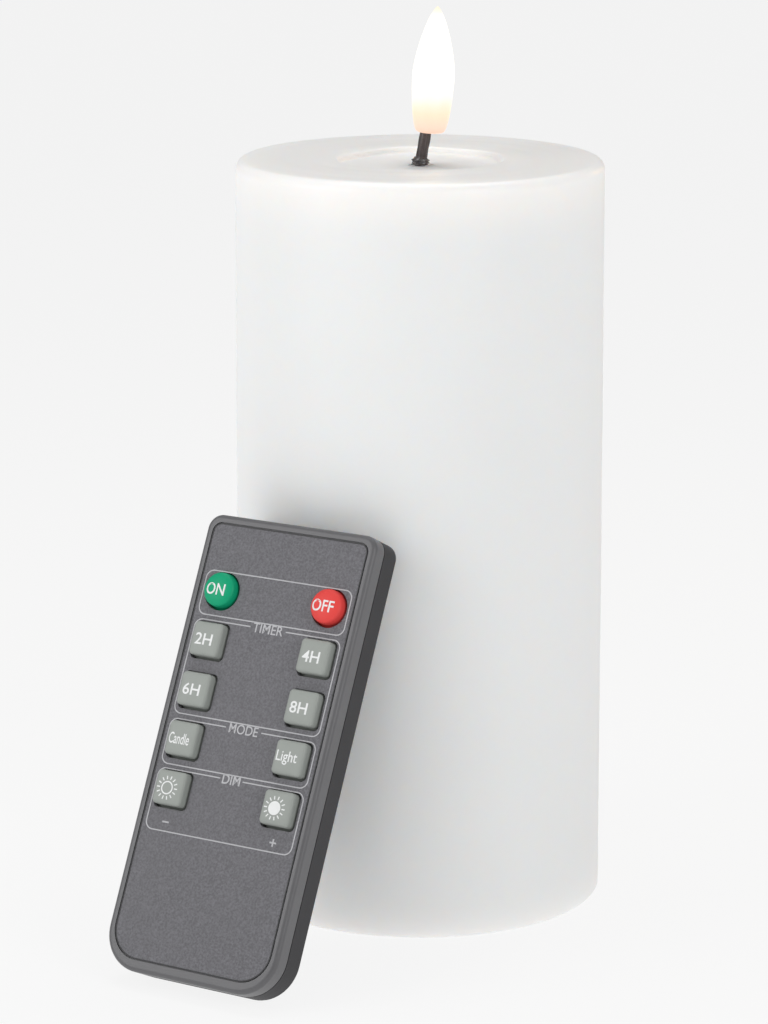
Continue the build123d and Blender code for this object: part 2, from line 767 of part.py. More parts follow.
def build_candle():
    screw_ring = ring_points(boss_ring, boss_angles)
    return {
        "wax_pillar": make_wax_pillar(),
        "core_housing": make_core_housing(),
        "base_plate": make_base_plate(),
        "base_pads": make_base_pads(),
        "base_screws": make_screws(screw_ring, screw_length),
        "battery_box": make_battery_box(),
        "battery_box_screws": make_screws([(ear_x, ear_y), (-ear_x, ear_y)], box_screw_length),
        "battery_cell_a": Pos(-cell_x, bay_y, cell_foot) * make_cell(True),
        "battery_cell_b": Pos(cell_x, bay_y, cell_foot) * make_cell(False),
        "battery_contacts": make_contacts(),
        "battery_springs": make_springs(),
        "battery_door": make_battery_door(),
        "door_bridge_contact": make_bridge_contact(),
        "power_switch_body": make_switch_body(),
        "power_switch_slider": make_switch_slider(),
        "circuit_board": make_circuit_board(),
        "controller_chip": make_controller_chip(),
        "ir_receiver": make_ir_receiver(),
        "board_capacitor": make_board_capacitor(),
        "board_passives": make_board_passives(),
        "lamp_connector": make_lamp_connector(),
        "lamp_leads": make_lamp_leads(),
        "battery_leads": make_battery_leads(),
        "switch_leads": make_switch_leads(),
        "wick_tube": make_wick_tube(),
        "wick": make_wick(),
        "wick_collar": make_wick_collar(),
        "flame_led": make_led_chip(),
        "flame_bulb": make_flame_bulb(),
    }


def build_controller():
    pieces = {
        "remote_front_case": make_front_case(),
        "remote_overlay": make_overlay(),
        "remote_back_case": make_back_case(),
        "remote_key_mat": make_rc_mat(),
        "remote_board": make_rc_board(),
        "remote_chip": make_rc_chip(),
        "remote_cell_clips": make_rc_clips(),
        "remote_cell_tray": make_cell_tray(),
        "remote_coin_cell": make_coin_cell(),
        "remote_ir_emitter": make_ir_emitter(),
        "remote_ir_window": make_rc_window(),
    }
    for name, x, y, is_round in key_list():
        pieces["remote_key_" + name] = make_key(x, y, is_round)
    place = controller_frame()
    return {name: place * body for name, body in pieces.items()}


def main():
    os.makedirs("parts", exist_ok=True)
    nodes = {**build_candle(), **build_controller()}
    for name, body in nodes.items():
        body.label = name
        export_step(body, os.path.join("parts", name + ".step"))
    frame = controller_frame()
    print("nodes", len(nodes))
    print("controller origin", tuple(round(v, 4) for v in frame.position))
    print("door hinge y, z", round(hinge_y, 3), round(hinge_z, 3))


if __name__ == "__main__":
    main()
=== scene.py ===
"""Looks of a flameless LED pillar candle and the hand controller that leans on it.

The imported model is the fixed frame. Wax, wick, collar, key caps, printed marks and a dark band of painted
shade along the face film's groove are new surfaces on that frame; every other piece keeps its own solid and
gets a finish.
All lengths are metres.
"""
from __future__ import annotations

import json
import logging
import math
from dataclasses import dataclass, field
from enum import Enum
from typing import Any, Optional, Sequence, Union

import bpy
import numpy as np
from mathutils import Matrix, Vector

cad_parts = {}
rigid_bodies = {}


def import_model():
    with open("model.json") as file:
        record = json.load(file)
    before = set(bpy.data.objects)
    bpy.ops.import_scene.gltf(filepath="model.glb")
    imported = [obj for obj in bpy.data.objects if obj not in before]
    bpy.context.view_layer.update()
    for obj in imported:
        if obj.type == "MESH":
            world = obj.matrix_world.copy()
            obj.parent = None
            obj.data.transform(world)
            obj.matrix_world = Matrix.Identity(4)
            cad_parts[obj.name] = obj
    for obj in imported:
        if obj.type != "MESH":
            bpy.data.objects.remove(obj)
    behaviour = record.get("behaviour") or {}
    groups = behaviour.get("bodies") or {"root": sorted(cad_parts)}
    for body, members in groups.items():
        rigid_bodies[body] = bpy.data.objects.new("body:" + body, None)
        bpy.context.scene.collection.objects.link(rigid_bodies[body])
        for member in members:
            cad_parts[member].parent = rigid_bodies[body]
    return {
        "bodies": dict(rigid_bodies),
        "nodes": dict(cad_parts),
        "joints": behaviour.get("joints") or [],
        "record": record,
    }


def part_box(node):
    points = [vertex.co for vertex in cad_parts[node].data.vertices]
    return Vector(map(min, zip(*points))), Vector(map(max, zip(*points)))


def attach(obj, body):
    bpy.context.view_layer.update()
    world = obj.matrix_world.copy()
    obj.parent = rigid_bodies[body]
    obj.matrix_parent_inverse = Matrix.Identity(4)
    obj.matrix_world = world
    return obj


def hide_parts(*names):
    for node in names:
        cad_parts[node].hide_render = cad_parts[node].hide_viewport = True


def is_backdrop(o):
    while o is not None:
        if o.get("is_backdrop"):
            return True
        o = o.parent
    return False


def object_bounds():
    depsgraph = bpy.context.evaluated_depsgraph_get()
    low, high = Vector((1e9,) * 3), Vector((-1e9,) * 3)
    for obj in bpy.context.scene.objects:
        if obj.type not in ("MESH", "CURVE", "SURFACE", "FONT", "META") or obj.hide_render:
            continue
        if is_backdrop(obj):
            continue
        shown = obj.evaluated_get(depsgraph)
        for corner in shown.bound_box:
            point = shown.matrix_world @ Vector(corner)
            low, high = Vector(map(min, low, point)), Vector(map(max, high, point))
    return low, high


log = logging.getLogger("candle")
MM = 0.001
Triple = tuple[float, float, float]
Colour = Triple
Link = bpy.types.NodeSocket


# --------------------------------------------------------------------------- shader helpers
class Val:
    """A number in a shader: an output socket whose operators add Math nodes."""

    def __init__(self, graph: "Graph", socket: Link) -> None:
        """Keep the graph and the socket."""
        self.graph = graph
        self.socket = socket

    def math(self, operation: str, *others: Union["Val", float], clamp: bool = False) -> "Val":
        """Apply one Math node.

        Args:
            operation: Blender's name for it.
            others: the further operands.
            clamp: keep the result between 0 and 1.

        Returns:
            The result.
        """
        node = self.graph.node("ShaderNodeMath", {"operation": operation, "use_clamp": clamp},
                               {i: v for i, v in enumerate((self, *others))})
        return Val(self.graph, node.outputs[0])

    def _swapped(self, operation: str, other: float) -> "Val":
        """Apply a Math node with the plain number first."""
        node = self.graph.node("ShaderNodeMath", {"operation": operation}, {0: other, 1: self})
        return Val(self.graph, node.outputs[0])

    def __add__(self, other: Union["Val", float]) -> "Val":
        """Sum."""
        return self.math("ADD", other)

    __radd__ = __add__

    def __sub__(self, other: Union["Val", float]) -> "Val":
        """Difference."""
        return self.math("SUBTRACT", other)

    def __rsub__(self, other: float) -> "Val":
        """Difference with the number first."""
        return self._swapped("SUBTRACT", other)

    def __mul__(self, other: Union["Val", float]) -> "Val":
        """Product."""
        return self.math("MULTIPLY", other)

    __rmul__ = __mul__

    def __truediv__(self, other: Union["Val", float]) -> "Val":
        """Quotient."""
        return self.math("DIVIDE", other)

    def clamped(self) -> "Val":
        """The value held between 0 and 1."""
        return self.math("ADD", 0.0, clamp=True)

    def step(self, low: float, high: float) -> "Val":
        """A soft step from 0 at low to 1 at high."""
        return self.math("SUBTRACT", low).math("DIVIDE", high - low, clamp=True)


class Graph:
    """One material and its nodes."""

    def __init__(self, name: str) -> None:
        """Start an empty material of that name."""
        self.material = bpy.data.materials.new(name)
        self.material.use_nodes = True
        self.tree = self.material.node_tree
        self.tree.nodes.clear()
        self.end = self.tree.nodes.new("ShaderNodeOutputMaterial")
        self._place: Optional[Link] = None

    def node(self, kind: str, settings: Optional[dict[str, Any]] = None,
             inputs: Optional[dict[Union[str, int], Any]] = None) -> bpy.types.Node:
        """Add a node, set it up, then feed it.

        Args:
            kind: the node's type.
            settings: its properties; "stops" holds a ramp's positions and colours.
            inputs: socket names or numbers to values, sockets or shader values.

        Returns:
            The node.
        """
        made = self.tree.nodes.new(kind)
        for key, value in (settings or {}).items():
            if key == "stops":
                self._stops(made, value)
            else:
                setattr(made, key, value)
        for key, value in (inputs or {}).items():
            target = made.inputs[key]
            source = value.socket if isinstance(value, Val) else value
            if isinstance(source, bpy.types.NodeSocket):
                self.tree.links.new(source, target)
            else:
                target.default_value = source
        return made

    @staticmethod
    def _stops(ramp: bpy.types.Node, stops: Sequence[tuple[float, Colour]]) -> None:
        """Write a colour ramp's stops."""
        elements = ramp.color_ramp.elements
        while len(elements) < len(stops):
            elements.new(1.0)
        for element, (position, colour) in zip(elements, stops):
            element.position = position
            element.color = (*colour, 1.0)

    def place(self) -> Link:
        """The Object coordinates."""
        if self._place is None:
            self._place = self.node("ShaderNodeTexCoord").outputs["Object"]
        return self._place

    def axis(self, which: int) -> Val:
        """One Object coordinate, 0 to 2 for X to Z."""
        split = self.node("ShaderNodeSeparateXYZ", None, {0: self.place()})
        return Val(self, split.outputs[which])

    def noise(self, scale: float, detail: float = 3.0, rough: float = 0.5,
              stretch: Optional[Triple] = None) -> Val:
        """Fractal noise between 0 and 1.

        Args:
            scale: features per metre.
            detail: octaves.
            rough: how strong the finer octaves are.
            stretch: scale on each axis first.

        Returns:
            The noise.
        """
        at = self.place()
        if stretch:
            at = self.node("ShaderNodeMapping", None, {"Vector": at, "Scale": stretch}).outputs[0]
        made = self.node("ShaderNodeTexNoise", {"noise_dimensions": "3D"},
                         {"Vector": at, "Scale": scale, "Detail": detail, "Roughness": rough})
        return Val(self, made.outputs["Fac"])

    def mix(self, share: Union[Val, float], first: Union[Colour, Link],
            second: Union[Colour, Link]) -> Link:
        """Blend two colours by a share of the second."""
        inputs = {0: share, 6: (*first, 1.0) if isinstance(first, tuple) else first,
                  7: (*second, 1.0) if isinstance(second, tuple) else second}
        return self.node("ShaderNodeMix", {"data_type": "RGBA"}, inputs).outputs[2]

    def ramp(self, value: Val, stops: Sequence[tuple[float, Colour]]) -> Link:
        """A colour read from a ramp."""
        return self.node("ShaderNodeValToRGB", {"stops": stops}, {0: value}).outputs[0]

    def bump(self, height: Val, depth: float, strength: float = 1.0) -> Link:
        """A normal bent by a height.

        Args:
            height: 0 to 1.
            depth: what 1 stands for, in metres.
            strength: how much of it shows.

        Returns:
            The normal.
        """
        inputs = {"Height": height, "Distance": depth, "Strength": strength}
        return self.node("ShaderNodeBump", None, inputs).outputs[0]

    def surface(self, **inputs: Any) -> bpy.types.Material:
        """Close the material with a Principled shader.

        Args:
            inputs: its sockets, with spaces written as underscores.

        Returns:
            The material.
        """
        fed = {}
        for key, value in inputs.items():
            flat = isinstance(value, tuple) and len(value) == 3 and "Radius" not in key
            fed[key.replace("_", " ")] = (*value, 1.0) if flat else value
        shader = self.node("ShaderNodeBsdfPrincipled", None, fed)
        self.tree.links.new(shader.outputs[0], self.end.inputs[0])
        return self.material


# --------------------------------------------------------------------------- finishes
@dataclass(frozen=True)
class Moulded:
    """A moulded, painted, rubber or metal finish with grain, tone and wear.

    The colour drifts between two tones on a broad noise, a fine grain lifts the surface, and
    the same grain moves the roughness.
    """

    name: str
    colour: Colour
    second: Colour
    roughness: float = 0.5
    spread: float = 0.12
    grain: float = 2600.0
    depth: float = 0.00003
    drift: float = 90.0
    metallic: float = 0.0
    coat: float = 0.0
    specular: float = 0.5
    brushed: Optional[Triple] = None

    def build(self) -> bpy.types.Material:
        """Make the material."""
        g = Graph(self.name)
        tone = g.noise(self.drift, 4.0, 0.55)
        fine = g.noise(self.grain, 3.0, 0.6, self.brushed)
        colour = g.mix((tone * 0.6 + fine * 0.4).clamped(), self.colour, self.second)
        return g.surface(Base_Color=colour, Metallic=self.metallic, Coat_Weight=self.coat,
                         Specular_IOR_Level=self.specular,
                         Roughness=(fine * self.spread + (self.roughness - self.spread / 2)),
                         Normal=g.bump(fine, self.depth))


@dataclass(frozen=True)
class Wax:
    """Poured wax: milky, softly scattering, with a satin skin and faint flow marks."""

    name: str = "poured_wax"
    colour: Colour = (0.905, 0.892, 0.876)
    second: Colour = (0.880, 0.866, 0.850)
    roughness: float = 0.40

    def build(self) -> bpy.types.Material:
        """Make the material."""
        g = Graph(self.name)
        cloud = g.noise(28.0, 4.0, 0.55)
        fleck = g.noise(420.0, 3.0, 0.6)
        flow = g.noise(36.0, 2.0, 0.4, (1.0, 1.0, 0.25))
        colour = g.mix((cloud * 0.75 + fleck * 0.25).clamped(), self.colour, self.second)
        rough = cloud * 0.10 + fleck * 0.05 + (self.roughness - 0.075)
        height = flow * 0.85 + fleck * 0.15
        return g.surface(Base_Color=colour, Roughness=rough, Subsurface_Weight=0.85,
                         Specular_IOR_Level=0.3,
                         Subsurface_Radius=(0.0080, 0.0066, 0.0056), Subsurface_Scale=1.0,
                         Coat_Weight=0.10, Coat_Roughness=0.16,
                         Normal=g.bump(height, 0.00022, 0.5))


@dataclass(frozen=True)
class Glow:
    """Frosted diffuser lit from inside: peach at its foot, white above, faintly yellow at the tip."""

    foot: float
    tip: float
    name: str = "flame_diffuser"
    strength: float = 2.0

    def build(self) -> bpy.types.Material:
        """Make the material."""
        g = Graph(self.name)
        up = (g.axis(2) - self.foot) / (self.tip - self.foot)
        drift = g.noise(160.0, 3.0)
        level = (up + (drift - 0.5) * 0.05).clamped()
        full = (1.0, 0.87, 0.68)
        stops = [(0.0, (0.455, 0.285, 0.215)), (0.06, (0.46, 0.335, 0.262)),
                 (0.165, (0.465, 0.388, 0.283)), (0.22, (0.47, 0.42, 0.33)),
                 (0.28, (0.48, 0.456, 0.42)), (0.34, (0.56, 0.53, 0.48)), (0.44, full), (0.88, full),
                 (0.96, (0.50, 0.47, 0.41)), (1.0, (0.46, 0.41, 0.30))]
        frost = g.noise(2400.0, 2.0)
        return g.surface(Base_Color=g.mix(frost, (0.12, 0.105, 0.09), (0.10, 0.085, 0.07)),
                         Roughness=frost * 0.1 + 0.42, Emission_Color=g.ramp(level, stops),
                         Emission_Strength=self.strength, Normal=g.bump(frost, 0.00002))


@dataclass(frozen=True)
class Braid:
    """Blackened wick: dark strands with browner and lighter strands among them at random."""

    name: str = "black_wick"

    def build(self) -> bpy.types.Material:
        """Make the material."""
        g = Graph(self.name)
        strand = g.noise(900.0, 4.0, 0.65, (1.0, 1.0, 0.18))
        fleck = g.noise(3200.0, 3.0, 0.6)
        colour = g.ramp((strand * 0.8 + fleck * 0.2).clamped(),
                        [(0.25, (0.012, 0.011, 0.012)), (0.55, (0.055, 0.040, 0.038)),
                         (0.8, (0.16, 0.145, 0.145))])
        return g.surface(Base_Color=colour, Roughness=strand * 0.25 + 0.25,
                         Normal=g.bump(strand * 0.7 + fleck * 0.3, 0.00012))


@dataclass(frozen=True)
class Overlay:
    """Face film of the controller: charcoal with a fine mottled grain."""

    name: str = "face_film"

    def build(self) -> bpy.types.Material:
        """Make the material."""
        g = Graph(self.name)
        grain = g.noise(2300.0, 2.0, 0.6)
        broad = g.noise(620.0, 3.0, 0.6)
        cast = g.noise(60.0, 2.0)
        mottle = (grain * 0.8 + broad * 0.2).step(0.36, 0.66)
        base = g.mix(mottle, (0.062, 0.061, 0.070), (0.172, 0.169, 0.187))
        colour = g.mix(cast * 0.35, base, (0.108, 0.107, 0.116))
        return g.surface(Base_Color=colour, Roughness=mottle * 0.14 + 0.40,
                         Normal=g.bump(mottle, 0.00006, 0.7))


@dataclass(frozen=True)
class CellJacket:
    """Printed sleeve of an AA cell: black body with a copper-coloured band at one end."""

    low: float
    high: float
    name: str = "cell_jacket"

    def build(self) -> bpy.types.Material:
        """Make the material."""
        g = Graph(self.name)
        up = (g.axis(2) - self.low) / (self.high - self.low)
        fine = g.noise(1800.0, 3.0, 0.6)
        band = up.step(0.715, 0.72)
        end = up.step(0.972, 0.974) + (1.0 - up).step(0.972, 0.974)
        body = g.mix(band, (0.014, 0.015, 0.018), (0.55, 0.26, 0.10))
        colour = g.mix(end.clamped(), body, (0.62, 0.62, 0.60))
        return g.surface(Base_Color=colour, Metallic=(band * 0.7 + end * 0.9).clamped(),
                         Roughness=fine * 0.12 + 0.26, Normal=g.bump(fine, 0.00001))


@dataclass(frozen=True)
class Laminate:
    """Circuit board: green mask over faint copper runs, with glass weave in it."""

    name: str = "board_laminate"

    def build(self) -> bpy.types.Material:
        """Make the material."""
        g = Graph(self.name)
        cells = g.node("ShaderNodeTexVoronoi", {"distance": "MANHATTAN"},
                       {"Vector": g.place(), "Scale": 420.0})
        runs = Val(g, cells.outputs["Distance"]).step(0.34, 0.40)
        weave = g.noise(2600.0, 2.0, 0.5, (1.0, 1.0, 0.3))
        mask = g.mix(runs, (0.012, 0.11, 0.045), (0.030, 0.22, 0.090))
        return g.surface(Base_Color=g.mix(weave * 0.3, mask, (0.02, 0.15, 0.07)),
                         Roughness=weave * 0.1 + 0.28, Normal=g.bump(runs, 0.00003), Coat_Weight=0.2)


@dataclass(frozen=True)
class Ink:
    """Printed mark, near-white ink with a little wear; the same finish in near-black is the painted shade
    band along the face film's groove.
    """

    name: str = "white_ink"
    colour: Colour = (0.50, 0.50, 0.52)

    def build(self) -> bpy.types.Material:
        """Make the material."""
        g = Graph(self.name)
        worn = g.noise(1500.0, 4.0, 0.65)
        dark = tuple(0.86 * c for c in self.colour)
        return g.surface(Base_Color=g.mix(worn, self.colour, dark), Roughness=worn * 0.15 + 0.4,
                         Normal=g.bump(worn, 0.00001))


# --------------------------------------------------------------------------- surface helpers
def mesh_object(name: str, points: np.ndarray, faces: Sequence[Sequence[int]],
                material: bpy.types.Material, smooth: bool = True) -> bpy.types.Object:
    """Make an object from points and faces.

    Args:
        name: the object's name.
        points: N by 3, in metres.
        faces: vertex numbers.
        material: its finish.
        smooth: shade it smooth.

    Returns:
        The object, at the origin.
    """
    mesh = bpy.data.meshes.new(name)
    mesh.from_pydata(points.tolist(), [], [list(f) for f in faces])
    mesh.validate()
    mesh.polygons.foreach_set("use_smooth", np.full(len(mesh.polygons), smooth))
    mesh.materials.append(material)
    made = bpy.data.objects.new(name, mesh)
    bpy.context.scene.collection.objects.link(made)
    return made


def ring_faces(rows: int, count: int, closed_rows: bool) -> np.ndarray:
    """Quads between rows of points that run round and close on themselves.

    Args:
        rows: how many rows.
        count: points in a row.
        closed_rows: join the last row to the first.

    Returns:
        M by 4 vertex numbers; row r's point c is number r times count plus c.
    """
    last = rows if closed_rows else rows - 1
    r, c = np.meshgrid(np.arange(last), np.arange(count), indexing="ij")
    nr, nc = (r + 1) % rows, (c + 1) % count
    quads = np.stack([r * count + c, r * count + nc, nr * count + nc, nr * count + c], axis=-1)
    return quads.reshape(-1, 4)


def skin(name: str, rows: np.ndarray, material: bpy.types.Material,
         loop: bool = False) -> bpy.types.Object:
    """A closed skin over rows of points, each row a ring.

    Args:
        name: the object's name.
        rows: R by N by 3, each row turning anticlockwise about the direction the rows climb.
        material: its finish.
        loop: the rows close into a torus; otherwise each end gets a fan to its middle.

    Returns:
        The object.
    """
    count = rows.shape[1]
    points = rows.reshape(-1, 3)
    faces: list[Sequence[int]] = ring_faces(len(rows), count, loop).tolist()
    if not loop:
        first, last = len(points), len(points) + 1
        points = np.vstack([points, rows[0].mean(0), rows[-1].mean(0)])
        around = np.arange(count)
        after = (around + 1) % count
        top = (len(rows) - 1) * count
        faces += np.stack([after, around, np.full(count, first)], 1).tolist()
        faces += np.stack([top + around, top + after, np.full(count, last)], 1).tolist()
    return mesh_object(name, points, faces, material)


def arc(centre: tuple[float, float], radius: float, start: float, stop: float,
        count: int) -> np.ndarray:
    """Points of an arc: centre plus radius times (cos, sin) of angles between two, in degrees."""
    a = np.radians(np.linspace(start, stop, count))
    return np.stack([centre[0] + radius * np.cos(a), centre[1] + radius * np.sin(a)], 1)


def rounded_loop(half: tuple[float, float], corner: float, count: int) -> np.ndarray:
    """A rounded rectangle: four quarter arcs, each round a corner centre, joined by straight sides.

    Args:
        half: half its width and half its height.
        corner: corner radius.
        count: points in each quarter.

    Returns:
        4 times count by 2, anticlockwise.
    """
    cx, cy = half[0] - corner, half[1] - corner
    quarters = [arc((sx * cx, sy * cy), corner, a, a + 90, count)
                for sx, sy, a in ((1, 1, 0), (-1, 1, 90), (-1, -1, 180), (1, -1, 270))]
    return np.vstack(quarters)


def waves(seed: int, count: int, *grids: np.ndarray) -> np.ndarray:
    """A smooth bumpy field: the mean of sines of whole-number mixes of the grids, with seeded phases.

    Args:
        seed: fixes the phases.
        count: how many sines.
        grids: angles, the first of them periodic.

    Returns:
        The field, within about -1 to 1.
    """
    rng = np.random.default_rng(seed)
    total = np.zeros(np.broadcast(*grids).shape)
    for _ in range(count):
        angle = rng.uniform(0, 2 * math.pi)
        for grid in grids:
            angle = angle + rng.integers(1, 6) * grid
        total = total + np.sin(angle)
    return total / math.sqrt(count)


def placed(points: np.ndarray, frame: Matrix) -> np.ndarray:
    """Points carried from a local frame into the model's."""
    m = np.array(frame)
    return points @ m[:3, :3].T + m[:3, 3]


# --------------------------------------------------------------------------- candle
@dataclass
class Candle:
    """The wax pillar and its wick, with the collar at the wick's foot.

    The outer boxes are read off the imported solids; the fields are the sizes within them.
    """

    rim: float = 2.0 * MM
    hem: float = 0.8 * MM
    wall: float = 5.0 * MM
    top: float = 9.0 * MM
    draft: float = 0.25 * MM
    pool_radius: float = 16.5 * MM
    pool_depth: float = 1.4 * MM
    lip: float = 0.7 * MM
    floor_round: float = 1.0 * MM
    hole: float = 2.31 * MM
    wick_radius: float = 1.16 * MM
    wick_buried: float = 25.0 * MM
    wick_length: float = 9.0 * MM
    lean: float = 10.0
    turn_points: int = 288

    def profile(self, radius: float, height: float) -> np.ndarray:
        """The pillar's section: hem, side, rim, top, pool, wick hole and bore, as (radius, height)."""
        floor, bore, roof = height - self.pool_depth, radius - self.wall, height - self.top
        lip_r = self.pool_radius + self.lip
        bend = min(self.floor_round, self.pool_depth - self.lip)
        runs = [
            np.stack([np.linspace(bore, radius - self.hem, 5), np.zeros(5)], 1),
            arc((radius - self.hem, self.hem), self.hem, -80, 0, 6),
            np.stack([np.full(60, radius), np.linspace(2 * MM, height - self.rim - MM, 60)], 1),
            arc((radius - self.rim, height - self.rim), self.rim, 0, 90, 12),
            np.stack([np.linspace(radius - self.rim - MM, lip_r + MM, 16), np.full(16, height)], 1),
            arc((lip_r, height - self.lip), self.lip, 90, 180, 9),
            arc((self.pool_radius - bend, floor + bend), bend, 0, -90, 7),
            np.stack([np.linspace(self.pool_radius - 2.2 * MM, self.hole, 16), np.full(16, floor)], 1),
            np.stack([np.full(3, self.hole), np.linspace(floor - MM, roof, 3)], 1),
            np.stack([np.linspace(self.hole + 4 * MM, bore, 6), np.full(6, roof)], 1),
            np.stack([np.full(8, bore), np.linspace(roof - 4 * MM, 4 * MM, 8)], 1),
        ]
        return np.vstack(runs)

    def pillar(self, finish: bpy.types.Material) -> bpy.types.Object:
        """Turn the section round the axis and let the wax waver.

        A point is (r cos t, r sin t, z). The side's radius and the top's height each get a
        bumpy field of under a tenth of a millimetre, the side draws in by the draft towards its
        top, and the pool's lip wanders by about a quarter.
        """
        low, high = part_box("wax_pillar")
        section = self.profile((high.x - low.x) / 2 - 0.05 * MM, high.z - 0.05 * MM)
        turn = np.linspace(0, 2 * math.pi, self.turn_points, endpoint=False)
        r = np.repeat(section[:, :1], len(turn), 1)
        z = np.repeat(section[:, 1:], len(turn), 1)
        t = np.repeat(turn[None, :], len(section), 0)
        outer = (r > self.pool_radius + 4 * MM) & (z > 3 * MM) & (r > high.x - self.wall + MM)
        r = r + outer * (0.05 * MM * waves(3, 7, t, z * 60.0) - self.draft * z / high.z)
        top = (z > high.z - self.pool_depth - 0.5 * MM) & (r < high.x - self.rim)
        near = np.exp(-((r - self.pool_radius) / (2.2 * MM)) ** 2) * top
        r = r + near * 0.22 * MM * waves(11, 5, t)
        z = z + top * (0.05 * MM * waves(5, 6, t, r * 250.0) - near * 0.10 * MM * (1 + waves(8, 5, t)))
        points = np.stack([r * np.cos(t), r * np.sin(t), z], -1)
        made = skin("wax_skin", points, finish, loop=True)
        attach(made, "candle")
        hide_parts("wax_pillar")
        return made

    def wick(self, finish: bpy.types.Material) -> bpy.types.Object:
        """Carry a fluted circle up the wick's bent path.

        The path climbs straight, then leans over a short bend. The section's radius is the
        wick's times one plus a little of sin(6 t + twist) and a bumpy field.
        """
        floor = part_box("wax_pillar")[1].z - self.pool_depth
        s = np.concatenate([np.linspace(-self.wick_buried, -MM, 12),
                            np.linspace(-0.6 * MM, self.wick_length, 60)])
        angle = math.radians(self.lean) * np.clip((s + 0.6 * MM) / (1.2 * MM), 0, 1)
        ds = np.diff(s, prepend=s[0])
        path = np.stack([np.cumsum(np.sin(angle) * ds), np.zeros_like(s),
                         floor - self.wick_buried + np.cumsum(np.cos(angle) * ds)], 1)
        t = np.linspace(0, 2 * math.pi, 56, endpoint=False)[None, :]
        lumps = 0.045 * np.sin(6 * t + s[:, None] * 500.0) + 0.03 * waves(21, 8, t, s[:, None] * 420.0)
        r = self.wick_radius * (0.955 + lumps)
        side = np.stack([np.cos(angle), np.zeros_like(s), -np.sin(angle)], 1)
        points = (path[:, None, :] + (r * np.cos(t))[..., None] * side[:, None, :]
                  + (r * np.sin(t))[..., None] * np.array([0.0, 1.0, 0.0]))
        made = skin("wick_braid", points, finish)
        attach(made, "candle")
        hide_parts("wick")
        return made

    def collar(self, finish: bpy.types.Material) -> bpy.types.Object:
        """Crumpled bead of blackened wax at the wick's foot.

        A ring whose radius falls from foot to top with a power of the height, times one plus a
        strong bumpy field, so that it creases; its top closes on the wick.
        """
        low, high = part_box("wick_collar")
        v = np.linspace(0, 1, 26)[:, None]
        t = np.linspace(0, 2 * math.pi, 72, endpoint=False)[None, :]
        mid = (low.x + high.x) / 2
        reach = (high.x - low.x) / 2
        r = reach * (1.0 - 0.30 * v ** 2.2) * (1 + 0.13 * waves(31, 9, t, v * 7.0))
        z = low.z + (high.z - low.z) * (0.90 * v + 0.10 * waves(37, 7, t, v * 5.0) * np.sin(math.pi * v))
        points = np.stack([mid + 0.12 * MM * v + r * np.cos(t), r * np.sin(t), z + 0 * r], -1)
        made = skin("wick_foot_bead", points, finish)
        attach(made, "candle")
        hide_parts("wick_collar")
        return made

    def build(self) -> list[bpy.types.Object]:
        """Make the three surfaces."""
        bead = Moulded("bead_glaze", (0.010, 0.010, 0.011), (0.12, 0.105, 0.10), roughness=0.20,
                       spread=0.2, grain=1900.0, depth=0.00016, coat=0.9)
        return [self.pillar(Wax().build()), self.wick(Braid().build()), self.collar(bead.build())]


# --------------------------------------------------------------------------- controller
class Cap(Enum):
    """The two shapes of key."""

    ROUND = "round"
    SQUARE = "square"


class Mark(Enum):
    """What is printed on a key."""

    WORD = "word"
    SUN_LINE = "sun drawn in line"
    SUN_FULL = "sun filled in"


@dataclass(frozen=True)
class Key:
    """One key: its node's ending, shape, colour name and mark."""

    name: str
    cap: Cap
    tint: str
    mark: Mark
    text: str = ""
    width: float = 3.9 * MM
    height: float = 2.3 * MM


KEYS: tuple[Key, ...] = (
    Key("on", Cap.ROUND, "green", Mark.WORD, "ON", 4.2 * MM, 2.35 * MM),
    Key("off", Cap.ROUND, "red", Mark.WORD, "OFF", 4.9 * MM, 2.35 * MM),
    Key("timer_2h", Cap.SQUARE, "grey", Mark.WORD, "2H"),
    Key("timer_4h", Cap.SQUARE, "grey", Mark.WORD, "4H"),
    Key("timer_6h", Cap.SQUARE, "grey", Mark.WORD, "6H"),
    Key("timer_8h", Cap.SQUARE, "grey", Mark.WORD, "8H"),
    Key("candle_mode", Cap.SQUARE, "grey", Mark.WORD, "Candle", 4.7 * MM, 2.2 * MM),
    Key("light_mode", Cap.SQUARE, "grey", Mark.WORD, "Light", 4.7 * MM, 2.7 * MM),
    Key("dim_down", Cap.SQUARE, "grey", Mark.SUN_LINE),
    Key("dim_up", Cap.SQUARE, "grey", Mark.SUN_FULL),
)


@dataclass(frozen=True)
class Panel:
    """One printed frame on the face film, with the word that breaks its upper line."""

    low: float
    high: float
    text: str = ""
    gap: float = 0.0
    width: float = 0.0


